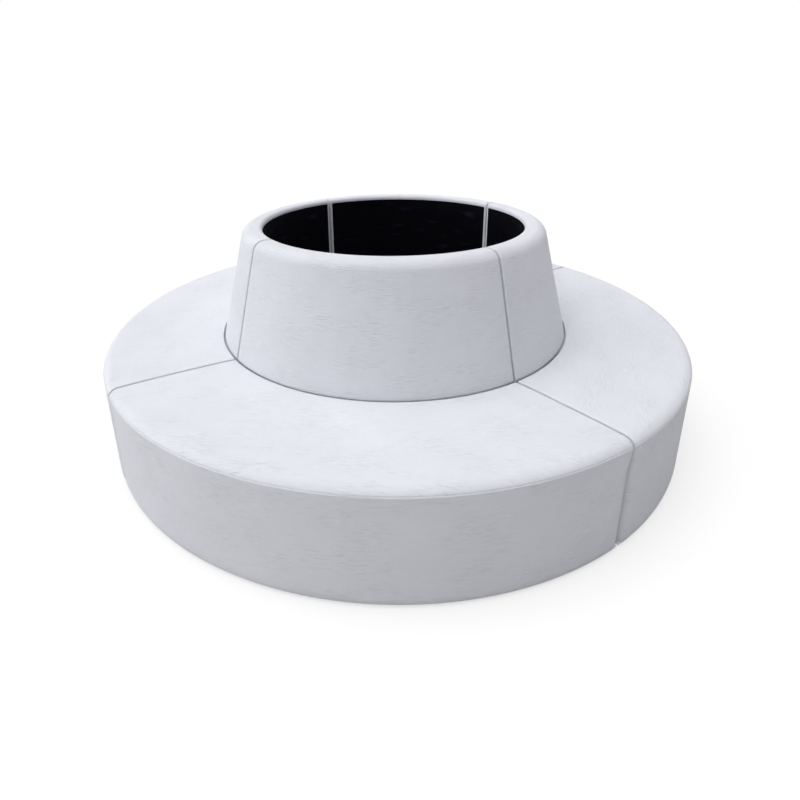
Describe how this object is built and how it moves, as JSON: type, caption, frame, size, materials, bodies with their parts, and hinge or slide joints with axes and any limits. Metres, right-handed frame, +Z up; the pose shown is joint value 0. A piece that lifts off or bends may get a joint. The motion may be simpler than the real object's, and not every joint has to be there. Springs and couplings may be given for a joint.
{
  "type": "round sofa",
  "caption": "Round lounge sofa in separate quarter modules, each a padded seat with a sloped back in one, round an open black-lined well.",
  "frame": {"origin": "on the floor at the middle of the well, under the centre of the round", "axes": "+Z up; the front module faces -Y, the right one +X, the rear one +Y and the left one -X; the joints lie on the diagonals"},
  "size_m": [2.7, 2.7, 0.933],
  "materials": {
    "cover_fabric": "pale blue-grey woven upholstery with short flecks",
    "well_lining": "black lining cloth",
    "foam": "open-cell polyurethane foam",
    "plywood": "bare birch plywood",
    "dust_cloth": "black non-woven cloth",
    "glide_plastic": "moulded black"
  },
  "bodies": {
    "front_module": {"front_seat_cover": "cover_fabric", "front_back_cover": "cover_fabric", "front_lining": "well_lining", "front_dust_cover": "dust_cloth", "front_seat_foam": "foam", "front_back_foam": "foam", "front_seat_deck": "plywood", "front_side_skin": "plywood", "front_back_skin": "plywood", "front_frame": "plywood", "front_inner_left_glide": "glide_plastic", "front_inner_right_glide": "glide_plastic", "front_outer_left_glide": "glide_plastic", "front_outer_right_glide": "glide_plastic"},
    "right_module": {"right_seat_cover": "cover_fabric", "right_back_cover": "cover_fabric", "right_lining": "well_lining", "right_dust_cover": "dust_cloth", "right_seat_foam": "foam", "right_back_foam": "foam", "right_seat_deck": "plywood", "right_side_skin": "plywood", "right_back_skin": "plywood", "right_frame": "plywood", "right_inner_left_glide": "glide_plastic", "right_inner_right_glide": "glide_plastic", "right_outer_left_glide": "glide_plastic", "right_outer_right_glide": "glide_plastic"},
    "rear_module": {"rear_seat_cover": "cover_fabric", "rear_back_cover": "cover_fabric", "rear_lining": "well_lining", "rear_dust_cover": "dust_cloth", "rear_seat_foam": "foam", "rear_back_foam": "foam", "rear_seat_deck": "plywood", "rear_side_skin": "plywood", "rear_back_skin": "plywood", "rear_frame": "plywood", "rear_inner_left_glide": "glide_plastic", "rear_inner_right_glide": "glide_plastic", "rear_outer_left_glide": "glide_plastic", "rear_outer_right_glide": "glide_plastic"},
    "left_module": {"left_seat_cover": "cover_fabric", "left_back_cover": "cover_fabric", "left_lining": "well_lining", "left_dust_cover": "dust_cloth", "left_seat_foam": "foam", "left_back_foam": "foam", "left_seat_deck": "plywood", "left_side_skin": "plywood", "left_back_skin": "plywood", "left_frame": "plywood", "left_inner_left_glide": "glide_plastic", "left_inner_right_glide": "glide_plastic", "left_outer_left_glide": "glide_plastic", "left_outer_right_glide": "glide_plastic"}
  },
  "joints": [
    {"name": "right_slide", "type": "slide", "parent": "front_module", "child": "right_module", "axis": [1, 0, 0], "range_m": [0, 0.35]},
    {"name": "rear_slide", "type": "slide", "parent": "front_module", "child": "rear_module", "axis": [0, 1, 0], "range_m": [0, 0.35]},
    {"name": "left_slide", "type": "slide", "parent": "front_module", "child": "left_module", "axis": [-1, 0, 0], "range_m": [0, 0.35]}
  ]
}
